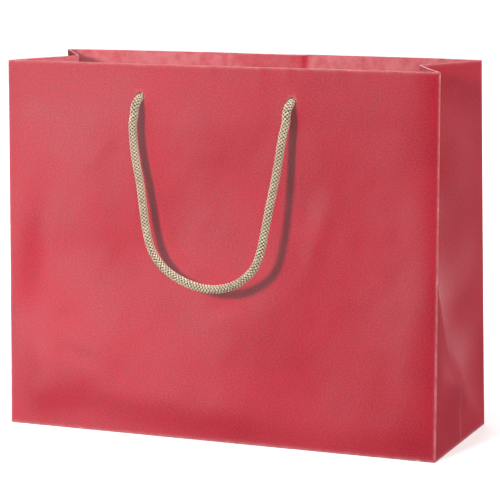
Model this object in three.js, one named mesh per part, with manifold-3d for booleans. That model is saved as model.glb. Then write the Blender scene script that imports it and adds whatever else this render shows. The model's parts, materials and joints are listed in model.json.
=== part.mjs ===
// A paper carrier bag for gifts, standing open: one folded paper sheet, two mouth cards, a base board
// and a braided cord handle. Millimetres, +Z up, origin on the floor under the middle of the bag.
// The front panel faces -Y. Each crease of the sheet is a border between two nodes.
import * as THREE from "three";
import { mergeVertices } from "three/addons/utils/BufferGeometryUtils.js";
import Module from "manifold-3d";

// The bag
const BAG_WIDTH = 320;
const BAG_DEPTH = 112; // at the base
const BAG_HEIGHT = 260;
const WALL_LEAN = 10; // how far each big panel leans in between the base and the mouth
const GUSSET_TUCK = 30; // how far a side's middle fold is pushed in at the mouth
const PAPER = 0.4;
const GAP = 0.3; // between touching pieces

// The mouth
const HEM_HEIGHT = 40; // the turned-in band round the mouth
const CARD_THICKNESS = 1;
const CARD_END_MARGIN = 3; // from a mouth card's upper or lower edge to the end of its hem
const CARD_SIDE_MARGIN = 4; // from the bag's edge to the end of a mouth card and its hem
const GUSSET_HEM_MARGIN = 2; // spare room between a gusset hem and the mouth card's hem
const GUSSET_HEM_STAND_OFF = 0.8; // the air between a gusset and its hem, since both are twisted

// The bottom
const SIDE_FLAP_TIP = 10; // a side flap's width at its narrow end
const FRONT_FLAP_SHORTFALL = 17; // how far the outer flap stops short of the back crease
const BACK_FLAP_OVERREACH = 17; // how far the inner flap goes past the middle of the base
const BOARD_THICKNESS = 1.2;
const BOARD_MARGIN = 4;
const SEAM_FLAP_WIDTH = 15;
const SEAM_FLAP_MARGIN = 2.5;
const SEAM_FLAP_END_CLEARANCE = 6;

// The handle
const CORD_RADIUS = 3;
const HOLE_RADIUS = 3.6;
const HOLE_SPACING = 112;
const HOLE_DROP = 23; // from the mouth's edge down to the hole's centre
const PIVOT_STAND_OFF = 12; // from the panel's face out to the line that a handle swings about
const SWING_ROOM = 1.3; // between the fixed stretch of cord and the loop, which leans in over it when raised
const KNOT_RADIUS = 8;
const KNOT_THICKNESS = 12;
const TAIL_LENGTH = 12;
const TAIL_TILT = 0.5; // radians, how far a knot's tail leans away from the wall
const LOOP_STEPS = 36;

// The front handle's route between its two pivots: x, distance in front of the pivot line, depth below it.
const LOOP_ROUTE = [
  [-56, 0, 0],
  [-56.6, 0.4, 8],
  [-56.6, 0.9, 17],
  [-56, 1.4, 29],
  [-54, 2.1, 43],
  [-50.8, 2.8, 59],
  [-48.6, 3.4, 75],
  [-46.2, 4.1, 90],
  [-42.8, 4.7, 102],
  [-37, 5.3, 111],
  [-28, 6.1, 118.5],
  [-14, 7.6, 124.5],
  [2, 9.6, 127],
  [17, 12.1, 124.5],
  [29, 14.1, 118.5],
  [38, 15.4, 110],
  [43, 15.8, 99],
  [46, 14.9, 85],
  [48.5, 12.4, 69],
  [51, 8.8, 52],
  [53, 5.4, 36],
  [54.6, 2.5, 21],
  [55.6, 0.7, 9],
  [56, 0, 0],
];

const PAPER_RED = new THREE.MeshStandardMaterial({ color: 0xb81c34, roughness: 0.5, metalness: 0 });
const GREY_BOARD = new THREE.MeshStandardMaterial({ color: 0xa9a295, roughness: 0.9, metalness: 0 });
const CORD_TAN = new THREE.MeshStandardMaterial({ color: 0xd2b48c, roughness: 0.85, metalness: 0 });

const halfWidth = BAG_WIDTH / 2;
const halfDepth = BAG_DEPTH / 2;
const holeHeight = BAG_HEIGHT - HOLE_DROP;
const cardOffset = PAPER + GAP; // depths inside a big panel's outer face
const hemOffset = cardOffset + CARD_THICKNESS + GAP;
const wallDepth = hemOffset + PAPER;
const flapStep = PAPER + GAP;
const boardBottom = 3 * flapStep;
const innerHalfDepth = halfDepth - flapStep; // where the gussets and flaps begin at the base

const wasm = await Module();
wasm.setup();

// The distance from the middle plane to a big panel's outer face at a height.
function wallHalfDepth(height) {
  return halfDepth - (WALL_LEAN * height) / BAG_HEIGHT;
}

function toSolid(geometry) {
  const bare = new THREE.BufferGeometry();
  bare.setAttribute("position", geometry.getAttribute("position"));
  bare.setIndex(geometry.index);
  const merged = mergeVertices(bare, 1e-4);
  const triVerts = new Uint32Array(merged.index.array);
  const vertProperties = merged.getAttribute("position").array;
  return new wasm.Manifold(new wasm.Mesh({ numProp: 3, vertProperties, triVerts }));
}

function toGeometry(solid) {
  const mesh = solid.getMesh();
  const geometry = new THREE.BufferGeometry();
  geometry.setAttribute("position", new THREE.BufferAttribute(mesh.vertProperties, 3));
  geometry.setIndex(new THREE.BufferAttribute(mesh.triVerts, 1));
  geometry.computeVertexNormals();
  return geometry;
}

function addMesh(group, name, geometry, material) {
  const mesh = new THREE.Mesh(geometry, material.clone());
  mesh.name = name;
  group.add(mesh);
  return mesh;
}

// A closed outline of [a, b] points pushed along +Z by a length.
function extrudeOutline(points, length) {
  const shape = new THREE.Shape(points.map(([a, b]) => new THREE.Vector2(a, b)));
  return new THREE.ExtrudeGeometry(shape, { depth: length, bevelEnabled: false });
}

// A slab that lies in the front wall between two heights and two depths inside its outer face.
function wallSlab(fromX, toX, fromZ, toZ, outerDepth, thickness) {
  const faceAt = (z) => -wallHalfDepth(z) + outerDepth;
  const outline = [
    [faceAt(fromZ), fromZ],
    [faceAt(fromZ) + thickness, fromZ],
    [faceAt(toZ) + thickness, toZ],
    [faceAt(toZ), toZ],
  ];
  const geometry = extrudeOutline(outline, toX - fromX);
  // The outline's plane (a, b) becomes (Y, Z) and its length runs along X.
  geometry.applyMatrix4(new THREE.Matrix4().makeBasis(
    new THREE.Vector3(0, 1, 0),
    new THREE.Vector3(0, 0, 1),
    new THREE.Vector3(1, 0, 0),
  ));
  geometry.translate(fromX, 0, 0);
  return geometry;
}

// The same slab with the two cord holes punched through it.
function punchedSlab(...slabSizes) {
  let solid = toSolid(wallSlab(...slabSizes));
  for (const side of [-1, 1]) {
    const punch = new THREE.CylinderGeometry(HOLE_RADIUS, HOLE_RADIUS, BAG_DEPTH, 24);
    punch.translate((side * HOLE_SPACING) / 2, -halfDepth, holeHeight);
    solid = solid.subtract(toSolid(punch));
  }
  return toGeometry(solid);
}

// A flat piece of the bottom: an outline in X and Y, lifted to a height.
function bottomPiece(points, bottom, thickness) {
  return extrudeOutline(points, thickness).translate(0, 0, bottom);
}

function rectangle(fromX, toX, fromY, toY) {
  return [[fromX, fromY], [toX, fromY], [toX, toY], [fromX, toY]];
}

// A sheet over a surface: across and up run from 0 to 1, and the sheet's thickness lies towards -X.
function sheetOver(surface, acrossSteps, upSteps, thickness) {
  const geometry = new THREE.BoxGeometry(1, 1, 1, 1, acrossSteps, upSteps);
  const positions = geometry.getAttribute("position");
  for (let i = 0; i < positions.count; i += 1) {
    const [x, y, z] = surface(positions.getY(i) + 0.5, positions.getZ(i) + 0.5);
    positions.setXYZ(i, x - (0.5 - positions.getX(i)) * thickness, y, z);
  }
  return geometry;
}

// A point of a right gusset half: across runs from the middle fold out to the big panel (at sign * Y).
function gussetPoint(sign, across, up) {
  const creaseLift = GAP / 2;
  const foldY = GAP / 2;
  const foldBottom = innerHalfDepth - foldY + creaseLift;
  const foldZ = foldBottom + (BAG_HEIGHT - foldBottom) * up;
  const edgeZ = creaseLift + (BAG_HEIGHT - creaseLift) * up;
  const edgeY = wallHalfDepth(edgeZ) - flapStep;
  return [
    halfWidth - GUSSET_TUCK * up * (1 - across),
    sign * (foldY + (edgeY - foldY) * across),
    foldZ + (edgeZ - foldZ) * across,
  ];
}

// One half of the right gusset, above the diagonal crease.
function gussetHalf(sign) {
  const surface = (a, up) => gussetPoint(sign, sign > 0 ? a : 1 - a, up);
  return sheetOver(surface, 4, 10, PAPER);
}

// The band turned in over one gusset half's top edge.
function gussetHem(sign) {
  const topHalfDepth = wallHalfDepth(BAG_HEIGHT);
  const edgeShare = 1 - (wallDepth + GUSSET_HEM_MARGIN) / topHalfDepth;
  const upStart = 1 - HEM_HEIGHT / BAG_HEIGHT;
  const surface = (a, up) => {
    const across = (sign > 0 ? a : 1 - a) * edgeShare;
    const [x, y, z] = gussetPoint(sign, across, upStart + (1 - upStart) * up);
    return [x - PAPER - GUSSET_HEM_STAND_OFF, y, z];
  };
  return sheetOver(surface, 3, 3, PAPER);
}

// The upright triangle between the right gusset's two diagonal creases.
function gussetBase() {
  const reach = innerHalfDepth - GAP * Math.SQRT2;
  const geometry = extrudeOutline([[-reach, 0], [reach, 0], [0, reach]], PAPER);
  geometry.applyMatrix4(new THREE.Matrix4().makeBasis(
    new THREE.Vector3(0, 1, 0),
    new THREE.Vector3(0, 0, 1),
    new THREE.Vector3(1, 0, 0),
  ));
  return geometry.translate(halfWidth - PAPER, 0, 0);
}

function addGusset(root, side, halfNames) {
  const group = new THREE.Group();
  group.rotation.z = side === "left" ? Math.PI : 0;
  addMesh(group, `gusset_base_${side}`, gussetBase(), PAPER_RED);
  for (const [name, sign] of halfNames) {
    addMesh(group, `gusset_${name}_${side}`, gussetHalf(sign), PAPER_RED);
    addMesh(group, `gusset_hem_${name}_${side}`, gussetHem(sign), PAPER_RED);
  }
  root.add(group);
}

// A big panel with its mouth card and hem, built as the front wall.
function addWall(group, place) {
  const cardHalf = halfWidth - CARD_SIDE_MARGIN;
  const hemBottom = BAG_HEIGHT - HEM_HEIGHT;
  const cardBottom = hemBottom + CARD_END_MARGIN;
  const cardTop = BAG_HEIGHT - CARD_END_MARGIN;
  const panel = punchedSlab(-halfWidth, halfWidth, 0, BAG_HEIGHT, 0, PAPER);
  const card = punchedSlab(-cardHalf, cardHalf, cardBottom, cardTop, cardOffset, CARD_THICKNESS);
  const hem = punchedSlab(-cardHalf, cardHalf, hemBottom, BAG_HEIGHT, hemOffset, PAPER);
  addMesh(group, `${place}_panel`, panel, PAPER_RED);
  addMesh(group, `${place}_mouth_card`, card, GREY_BOARD);
  addMesh(group, `${place}_hem`, hem, PAPER_RED);
}

// The stopper knot inside the wall with its cut tail, for a hole at x.
function knot(x) {
  const middleY = -wallHalfDepth(holeHeight) + wallDepth + GAP + KNOT_THICKNESS / 2;
  const lump = new THREE.SphereGeometry(1, 16, 10);
  lump.scale(KNOT_RADIUS, KNOT_THICKNESS / 2, KNOT_RADIUS);
  const tailReach = KNOT_RADIUS / 2 + TAIL_LENGTH;
  const tail = new THREE.CylinderGeometry(CORD_RADIUS, CORD_RADIUS, tailReach, 12);
  tail.translate(0, -tailReach / 2, 0);
  tail.rotateX(Math.PI / 2 + TAIL_TILT);
  const solid = toSolid(lump).add(toSolid(tail));
  return toGeometry(solid).translate(x, middleY, holeHeight);
}

// The stretch of cord that passes straight out through the wall, for a hole at x.
function cordEnd(x) {
  const from = -wallHalfDepth(holeHeight) + wallDepth;
  const to = -wallHalfDepth(holeHeight) - PIVOT_STAND_OFF + CORD_RADIUS + SWING_ROOM;
  const stub = new THREE.CylinderGeometry(CORD_RADIUS, CORD_RADIUS, from - to, 12);
  return stub.translate(x, (from + to) / 2, holeHeight);
}

// The free loop of cord, which swings about the line through its two pivots.
function handleLoop() {
  const pivotY = -wallHalfDepth(holeHeight) - PIVOT_STAND_OFF;
  const points = LOOP_ROUTE.map(([x, out, down]) => new THREE.Vector3(x, pivotY - out, holeHeight - down));
  const route = new THREE.CatmullRomCurve3(points, false, "centripetal");
  const section = new THREE.Shape();
  section.absarc(0, 0, CORD_RADIUS, 0, 2 * Math.PI, false);
  const sides = 10;
  return new THREE.ExtrudeGeometry(section, {
    steps: LOOP_STEPS,
    extrudePath: route,
    curveSegments: sides,
    bevelEnabled: false,
  });
}

// The front handle. The back wall's two holes are empty.
function addHandle(group) {
  addMesh(group, "front_handle_loop", handleLoop(), CORD_TAN);
  for (const [name, side] of [["left", -1], ["right", 1]]) {
    const x = (side * HOLE_SPACING) / 2;
    addMesh(group, `front_cord_end_${name}`, cordEnd(x), CORD_TAN);
    addMesh(group, `front_knot_${name}`, knot(x), CORD_TAN);
  }
}

function addBottom(root) {
  const reach = halfWidth - PAPER - GAP;
  const frontFlap = rectangle(-reach, reach, -innerHalfDepth, innerHalfDepth - FRONT_FLAP_SHORTFALL);
  const backFlap = rectangle(-reach, reach, -BACK_FLAP_OVERREACH, innerHalfDepth);
  addMesh(root, "bottom_flap_front", bottomPiece(frontFlap, 0, PAPER), PAPER_RED);
  addMesh(root, "bottom_flap_back", bottomPiece(backFlap, flapStep, PAPER), PAPER_RED);
  for (const [name, side] of [["left", -1], ["right", 1]]) {
    const outerHalf = innerHalfDepth - GAP;
    const tipHalf = SIDE_FLAP_TIP / 2;
    const tipX = reach - (outerHalf - tipHalf); // its slanted edges run at 45 degrees
    const sideFlap = [
      [side * reach, -side * outerHalf],
      [side * reach, side * outerHalf],
      [side * tipX, side * tipHalf],
      [side * tipX, -side * tipHalf],
    ];
    addMesh(root, `bottom_flap_${name}`, bottomPiece(sideFlap, 2 * flapStep, PAPER), PAPER_RED);
  }
  const boardX = halfWidth - BOARD_MARGIN;
  const boardY = halfDepth - BOARD_MARGIN;
  const board = rectangle(-boardX, boardX, -boardY, boardY);
  addMesh(root, "base_board", bottomPiece(board, boardBottom, BOARD_THICKNESS), GREY_BOARD);
}

// The glued seam: a strip of the sheet behind the back panel's left edge, built as in the front wall.
function addSeam(group) {
  const toX = halfWidth - SEAM_FLAP_MARGIN;
  const bottom = boardBottom + BOARD_THICKNESS + SEAM_FLAP_END_CLEARANCE;
  const top = BAG_HEIGHT - HEM_HEIGHT - SEAM_FLAP_END_CLEARANCE;
  const flap = wallSlab(toX - SEAM_FLAP_WIDTH, toX, bottom, top, flapStep, PAPER);
  addMesh(group, "seam_flap", flap, PAPER_RED);
}

function buildBag() {
  const root = new THREE.Group();
  root.name = "gift_bag";
  const front = new THREE.Group();
  const back = new THREE.Group();
  back.rotation.z = Math.PI; // the back wall is the front wall turned half round
  addWall(front, "front");
  addWall(back, "back");
  addSeam(back);
  addHandle(front);
  root.add(front, back);
  addGusset(root, "right", [["front", -1], ["back", 1]]);
  addGusset(root, "left", [["back", -1], ["front", 1]]);
  addBottom(root);
  return root;
}

export default buildBag();
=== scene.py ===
"""A paper gift bag with a braided cord handle: the looks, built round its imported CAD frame."""

import json
import math

import bmesh
import bpy
import numpy as np
from mathutils import Matrix, Vector


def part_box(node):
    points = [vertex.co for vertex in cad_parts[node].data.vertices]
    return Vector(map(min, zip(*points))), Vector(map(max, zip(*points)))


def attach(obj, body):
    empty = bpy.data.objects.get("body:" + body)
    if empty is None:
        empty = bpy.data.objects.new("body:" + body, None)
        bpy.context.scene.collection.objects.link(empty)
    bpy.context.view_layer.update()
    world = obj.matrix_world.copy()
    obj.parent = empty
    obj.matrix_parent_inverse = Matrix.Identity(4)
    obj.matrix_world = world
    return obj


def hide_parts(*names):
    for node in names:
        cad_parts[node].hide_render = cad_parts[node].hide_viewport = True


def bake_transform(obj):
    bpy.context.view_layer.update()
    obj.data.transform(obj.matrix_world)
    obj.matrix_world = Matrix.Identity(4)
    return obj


bl_info = {
    "name": "Gift Bag",
    "version": (1, 0, 0),
    "blender": (4, 5, 0),
    "location": "View3D > Sidebar > Gift Bag",
    "description": "Builds a paper gift bag with a braided cord handle on its CAD frame",
    "category": "Add Mesh",
}

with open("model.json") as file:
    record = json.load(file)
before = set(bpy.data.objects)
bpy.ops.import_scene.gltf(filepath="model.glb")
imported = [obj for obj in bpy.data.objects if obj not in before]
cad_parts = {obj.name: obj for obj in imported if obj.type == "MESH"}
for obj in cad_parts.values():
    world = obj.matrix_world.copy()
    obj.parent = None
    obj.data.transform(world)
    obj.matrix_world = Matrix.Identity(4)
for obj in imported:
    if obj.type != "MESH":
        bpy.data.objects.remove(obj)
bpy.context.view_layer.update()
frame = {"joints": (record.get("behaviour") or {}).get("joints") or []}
MM = 0.001

# Sizes that the CAD frame holds
PANEL_LOW, PANEL_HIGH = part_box("front_panel")
HEM_LOW, HEM_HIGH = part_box("front_hem")
CARD_LOW, CARD_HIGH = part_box("front_mouth_card")
BOARD_LOW, BOARD_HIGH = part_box("base_board")
STUB_LOW, STUB_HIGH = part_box("front_cord_end_right")
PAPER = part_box("bottom_flap_front")[1].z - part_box("bottom_flap_front")[0].z
HALF_WIDTH = PANEL_HIGH.x
HEIGHT = PANEL_HIGH.z
HALF_DEPTH = -PANEL_LOW.y
MOUTH_HALF_DEPTH = PAPER - PANEL_HIGH.y
TUCK = HALF_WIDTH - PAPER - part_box("gusset_front_right")[0].x
WALL_DEPTH = HEM_HIGH.y + MOUTH_HALF_DEPTH  # panel, card and hem together
GUSSET_WALL_DEPTH = 4 * PAPER
HOLE_X = (STUB_LOW.x + STUB_HIGH.x) / 2
HOLE_HEIGHT = (STUB_LOW.z + STUB_HIGH.z) / 2
CORD_RADIUS = (STUB_HIGH.x - STUB_LOW.x) / 2
HOLE_RADIUS = CORD_RADIUS + 0.6 * MM
PIVOT_Y = {joint["name"]: joint["pos_m"][1] for joint in frame["joints"]}["front_handle_swing"]

# The front handle's route between its two pivots, in metres: x, distance in front of the pivot
# line and depth below it.
LOOP_ROUTE = [
    (-0.0560, 0.0000, 0.0000), (-0.0566, 0.0004, 0.0080), (-0.0566, 0.0009, 0.0170),
    (-0.0560, 0.0014, 0.0290), (-0.0540, 0.0021, 0.0430), (-0.0508, 0.0028, 0.0590),
    (-0.0486, 0.0034, 0.0750), (-0.0462, 0.0041, 0.0900), (-0.0428, 0.0047, 0.1020),
    (-0.0370, 0.0053, 0.1110), (-0.0280, 0.0061, 0.1185), (-0.0140, 0.0076, 0.1245),
    (0.0020, 0.0096, 0.1270), (0.0170, 0.0121, 0.1245), (0.0290, 0.0141, 0.1185),
    (0.0380, 0.0154, 0.1100), (0.0430, 0.0158, 0.0990), (0.0460, 0.0149, 0.0850),
    (0.0485, 0.0124, 0.0690), (0.0510, 0.0088, 0.0520), (0.0530, 0.0054, 0.0360),
    (0.0546, 0.0025, 0.0210), (0.0556, 0.0007, 0.0090), (0.0560, 0.0000, 0.0000),
]


# ---- settings


def colour_setting(name, description, default):
    return bpy.props.FloatVectorProperty(
        name=name, description=description, default=default, subtype="COLOR", size=3, min=0, max=1
    )


def length_setting(name, description, default, **limits):
    return bpy.props.FloatProperty(
        name=name, description=description, default=default, unit="LENGTH", **limits
    )


def angle_setting(name, description, degrees):
    return bpy.props.FloatProperty(
        name=name, description=description, default=math.radians(degrees), subtype="ANGLE"
    )


class GiftBagPaperSettings(bpy.types.PropertyGroup):
    outside_colour: colour_setting(
        "Outside Colour", "The printed, satin outside of the paper and its hem", (0.54, 0.017, 0.040)
    )
    # The colour of rubbed folds, and also the colour that the turned-in hem is lightened towards as painted
    # light.
    worn_and_lit_colour: colour_setting(
        "Worn Colour", "The print where folds have rubbed it thin", (0.80, 0.28, 0.30)
    )
    inside_colour: colour_setting("Inside Colour", "The uncoated inside of the paper", (0.80, 0.78, 0.74))
    board_colour: colour_setting(
        "Board Colour", "The grey board of the base and the mouth cards", (0.40, 0.37, 0.33)
    )
    corner_radius: length_setting(
        "Corner Radius", "How round the upright folds are", 0.0009, min=0.0002, max=0.005
    )
    mouth_bow: length_setting(
        "Mouth Bow", "How far each big panel bows out at the middle of the mouth", 0.0018, min=0, max=0.01
    )
    undulation: length_setting(
        "Undulation", "Height of the soft waves in the big panels", 0.00085, min=0, max=0.004
    )


class GiftBagCordSettings(bpy.types.PropertyGroup):
    strand_colour: colour_setting("Strand Colour", "The cream crowns of the strands", (1.0, 0.79, 0.57))
    # Painted shade: the dark colour in the hollows between and under the strands, on their sides and on the
    # core, where shade falls.
    hollow_shade_colour: colour_setting("Hollow Colour", "The brown between the strands", (0.035, 0.014, 0.007))
    carriers: bpy.props.IntProperty(
        name="Carriers", description="Strands that run each way round the cord", min=4, max=16, default=5
    )
    pitch: length_setting(
        "Pitch", "Length of cord in which a strand goes once round", 0.0122, min=0.005, max=0.05
    )
    strand_width: length_setting(
        "Strand Width", "Width of one strand across the cord", 0.0013, min=0.0005, max=0.004
    )
    strand_thickness: length_setting(
        "Strand Thickness", "Thickness of one strand", 0.0011, min=0.0003, max=0.003
    )


class GiftBagStageSettings(bpy.types.PropertyGroup):
    floor_colour: colour_setting("Floor Colour", "The plain pale floor", (0.92, 0.92, 0.92))
    azimuth: angle_setting("Azimuth", "Camera's turn from straight in front towards +X", 22.88)
    elevation: angle_setting("Elevation", "Camera's height above the horizon", 9.97)
    roll: angle_setting("Roll", "Camera's turn about its own view line", -0.63)
    distance: length_setting("Distance", "From the camera to its target", 1.619)
    lens: bpy.props.FloatProperty(name="Lens", description="Focal length in millimetres", default=165.4)
    target: bpy.props.FloatVectorProperty(
        name="Target",
        description="The point that the camera looks at",
        subtype="TRANSLATION",
        size=3,
        default=(0.0042, 0, 0.1259),
    )
    key_power: bpy.props.FloatProperty(
        name="Key Power", description="Watts that every light's own share is taken from", default=12
    )
    fill_strength: bpy.props.FloatProperty(
        name="Fill Strength", description="Strength of the even light from all round", default=0.11
    )


SETTINGS = {
    "gift_bag_paper": GiftBagPaperSettings,
    "gift_bag_cord": GiftBagCordSettings,
    "gift_bag_stage": GiftBagStageSettings,
}


def paper():
    return bpy.context.scene.gift_bag_paper


def cord():
    return bpy.context.scene.gift_bag_cord


def stage():
    return bpy.context.scene.gift_bag_stage


# ---- node helpers


def set_node(tree, node, **values):
    """Sets a node's settings, in small letters, then its sockets: by name, or by I and a number."""
    for key, value in values.items():
        if key[0].islower():
            setattr(node, key, value)
    for key, value in values.items():
        if key[0].islower():
            continue
        socket = node.inputs[int(key[1:]) if key[1:].isdigit() else key.replace("_", " ")]
        if isinstance(value, bpy.types.NodeSocket):
            tree.links.new(value, socket)
        else:
            socket.default_value = value
    return node


def add_node(tree, kind, **values):
    return set_node(tree, tree.nodes.new(kind), **values)


def result(tree, kind, **values):
    """The first output of a new node."""
    return add_node(tree, kind, **values).outputs[0]


def arithmetic(tree, operation, *values):
    sockets = {f"I{number}": value for number, value in enumerate(values)}
    return result(tree, "ShaderNodeMath", operation=operation, **sockets)


def product(tree, first, second):
    return arithmetic(tree, "MULTIPLY", first, second)


def blend_colours(tree, share, first, second):
    return add_node(tree, "ShaderNodeMix", data_type="RGBA", I0=share, I6=first, I7=second).outputs[2]


def noise(tree, vector, scale, **details):
    return result(tree, "ShaderNodeTexNoise", Vector=vector, Scale=scale, **details)


def ramp(tree, value, *stops):
    """Values between stops: (position, grey) each."""
    node = add_node(tree, "ShaderNodeValToRGB", Fac=value)
    for element, (position, grey) in zip(node.color_ramp.elements, stops, strict=True):
        element.position = position
        element.color = (grey, grey, grey, 1)
    return node.outputs["Color"]


def float_attribute(tree, name):
    return add_node(tree, "ShaderNodeAttribute", attribute_name=name).outputs["Fac"]


def object_place(tree):
    return add_node(tree, "ShaderNodeTexCoord").outputs["Object"]


def rgba(colour, scale=1.0):
    return (*(min(1.0, channel * scale) for channel in colour), 1)


SOCKET_KINDS = {"Geometry": "Geometry", "Vector": "Vector", "Carriers": "Int", "Material": "Material"}


def new_group(kind, name, outputs, **inputs):
    """An empty node group with its outputs, and its inputs with their defaults.

    A socket is a float unless its name says otherwise above."""
    group = bpy.data.node_groups.new(name, f"{kind}NodeTree")
    sockets = [(label, "INPUT", default) for label, default in inputs.items()]
    sockets += [(label, "OUTPUT", None) for label in outputs]
    for label, direction, default in sockets:
        socket_type = "NodeSocket" + SOCKET_KINDS.get(label, "Float")
        socket = group.interface.new_socket(label, in_out=direction, socket_type=socket_type)
        if default is not None:
            socket.default_value = default
    return group, group.nodes.new("NodeGroupInput").outputs, group.nodes.new("NodeGroupOutput")


def fibre_group():
    """Paper fibres: short soft streaks along the sheet with fine fuzz between them."""
    group, given, sink = new_group(
        "Shader", "paper_fibre", ("Height", "Tone"), Vector=None, Streaks=150.0, Fuzz=1100.0
    )
    stretched = result(
        group, "ShaderNodeMapping", vector_type="TEXTURE", Vector=given["Vector"], Scale=(2, 1, 1)
    )
    streaks = noise(group, stretched, product(group, given["Streaks"], 8.0), Detail=4.0)
    fuzz = noise(group, given["Vector"], given["Fuzz"], Detail=2.0)
    height = arithmetic(group, "ADD", streaks, product(group, fuzz, 0.7))
    set_node(group, sink, Height=height, Tone=streaks)
    return group


def mottle_group():
    """Slow cloudy variation for printed or handled surfaces."""
    group, given, sink = new_group("Shader", "mottle", ("Tone",), Vector=None, Scale=14.0)
    clouds = noise(group, given["Vector"], given["Scale"], Detail=5.0, Roughness=0.6, Distortion=0.4)
    set_node(group, sink, Tone=ramp(group, clouds, (0.32, 0), (0.68, 1)))
    return group


def wear_and_light_group():
    """Breaks a mask of rubbing and painted light up into patches of the rubbed colour, and its heaviest part
    into small bare nicks.
    """
    group, given, sink = new_group(
        "Shader", "wear_and_light_patches", ("Rubbed", "Bare"), Vector=None, Wear=0.0, Scale=160.0
    )
    patches = noise(group, given["Vector"], given["Scale"], Detail=4.0)
    rubbed = product(group, given["Wear"], ramp(group, patches, (0.3, 0.45), (0.62, 1)))
    heavy = ramp(group, given["Wear"], (0.6, 0), (0.9, 1))
    bare = product(group, heavy, ramp(group, patches, (0.64, 0), (0.70, 1)))
    set_node(group, sink, Rubbed=rubbed, Bare=bare)
    return group


SHARED_GROUPS = {"paper_fibre": fibre_group, "mottle": mottle_group, "wear_and_light_patches": wear_and_light_group}


def use_group(tree, name, **inputs):
    group = bpy.data.node_groups.get(name) or SHARED_GROUPS[name]()
    return add_node(tree, "ShaderNodeGroup", node_tree=group, **inputs).outputs


def kept_material(name, fill):
    """The node material of that name, made and filled at its first use."""
    if name not in bpy.data.materials:
        material = bpy.data.materials.new(name)
        material.use_nodes = True
        fill(material.node_tree, material.node_tree.nodes["Principled BSDF"])
    return bpy.data.materials[name]


def bumped(tree, height, strength, distance):
    return result(tree, "ShaderNodeBump", Strength=strength, Distance=distance, Height=height)


BARE_FIBRES = (0.88, 0.84, 0.82, 1)


def printed_paper():
    """Satin red print with fibre grain, cloudy ink, rubbed or bare folds, and the turned-in hem lightened
    towards the rubbed colour as painted light, with painted shade and highlights by the back hem's puckers.
    """

    def fill(tree, shader):
        sheet = result(tree, "ShaderNodeUVMap", uv_map="sheet")
        mask = float_attribute(tree, "wear")
        fibre = use_group(tree, "paper_fibre", Vector=sheet)
        clouds = use_group(tree, "mottle", Vector=sheet, Scale=16.0)["Tone"]
        worn_and_lit = use_group(tree, "wear_and_light_patches", Vector=object_place(tree), Wear=mask)
        red = paper().outside_colour
        ink = blend_colours(tree, clouds, rgba(red, 0.8), rgba(red))
        grain = ramp(tree, fibre["Tone"], (0.4, 0), (0.62, 0.62))
        grained = blend_colours(tree, grain, ink, rgba(red, 1.45))
        # Rubbed folds, and the turned-in hem lightened here as painted light.
        rubbed = blend_colours(tree, worn_and_lit["Rubbed"], grained, rgba(paper().worn_and_lit_colour))
        gloss = arithmetic(tree, "MULTIPLY_ADD", clouds, 0.08, 0.34)
        set_node(
            tree,
            shader,
            Base_Color=blend_colours(tree, worn_and_lit["Bare"], rubbed, BARE_FIBRES),
            Roughness=arithmetic(tree, "ADD", gloss, product(tree, mask, 0.2)),
            Specular_IOR_Level=0.55,
            Normal=bumped(tree, fibre["Height"], 0.4, 0.00022),
        )

    return kept_material("printed_paper", fill)


def plain_fibre(name, colour, roughness, grain):
    """Uncoated paper or board: fibre grain and a little grime."""

    def fill(tree, shader):
        place = object_place(tree)
        fibre = use_group(tree, "paper_fibre", Vector=place, Streaks=grain, Fuzz=1400.0)
        clouds = use_group(tree, "mottle", Vector=place, Scale=22.0)["Tone"]
        tone = blend_colours(tree, clouds, rgba(colour, 0.9), rgba(colour, 1.05))
        flecks = ramp(tree, fibre["Tone"], (0.6, 0), (0.75, 0.5))
        set_node(
            tree,
            shader,
            Base_Color=blend_colours(tree, flecks, tone, rgba(colour, 0.6)),
            Roughness=roughness,
            Normal=bumped(tree, fibre["Height"], 0.3, 0.0002),
        )

    return kept_material(name, fill)


def inside_paper():
    return plain_fibre("inside_paper", paper().inside_colour, 0.85, 40.0)


def grey_board():
    return plain_fibre("grey_board", paper().board_colour, 0.92, 25.0)


def braided_yarn():
    """Cotton yarn: cream strands with painted shade in the hollows, on the strands' sides and on the core,
    and fine filaments along each strand with faint painted shade between them.
    """

    def fill(tree, shader):
        rise = float_attribute(tree, "rise")
        lay = result(
            tree,
            "ShaderNodeCombineXYZ",
            X=product(tree, float_attribute(tree, "along"), 180.0),
            Y=product(tree, float_attribute(tree, "across"), 14.0),
            Z=product(tree, rise, 0.3),
        )
        filaments = noise(tree, lay, 1.6, Detail=3.0)
        clouds = use_group(tree, "mottle", Vector=object_place(tree), Scale=60.0)["Tone"]
        crown = cord().strand_colour
        strand = blend_colours(tree, clouds, rgba(crown, 0.86), rgba(crown, 1.06))
        # Faint painted shade between the filaments.
        between = ramp(tree, filaments, (0.35, 0.2), (0.6, 0))
        streaked = blend_colours(tree, between, strand, rgba(cord().hollow_shade_colour, 1.3))
        crown_side = float_attribute(tree, "crown")
        height = arithmetic(tree, "MULTIPLY_ADD", crown_side, 0.28, product(tree, rise, 0.72))
        # Painted shade where a strand dips under the others and on its sides, and on the core, which has no
        # rise or crown.
        hollow_shade = ramp(tree, height, (0.46, 1), (0.70, 0))
        set_node(
            tree,
            shader,
            Base_Color=blend_colours(tree, hollow_shade, streaked, rgba(cord().hollow_shade_colour)),
            Roughness=0.82,
            Sheen_Weight=0.25,
            Sheen_Roughness=0.5,
            Normal=bumped(tree, filaments, 0.5, 0.0003),
        )

    return kept_material("braided_yarn", fill)


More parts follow.
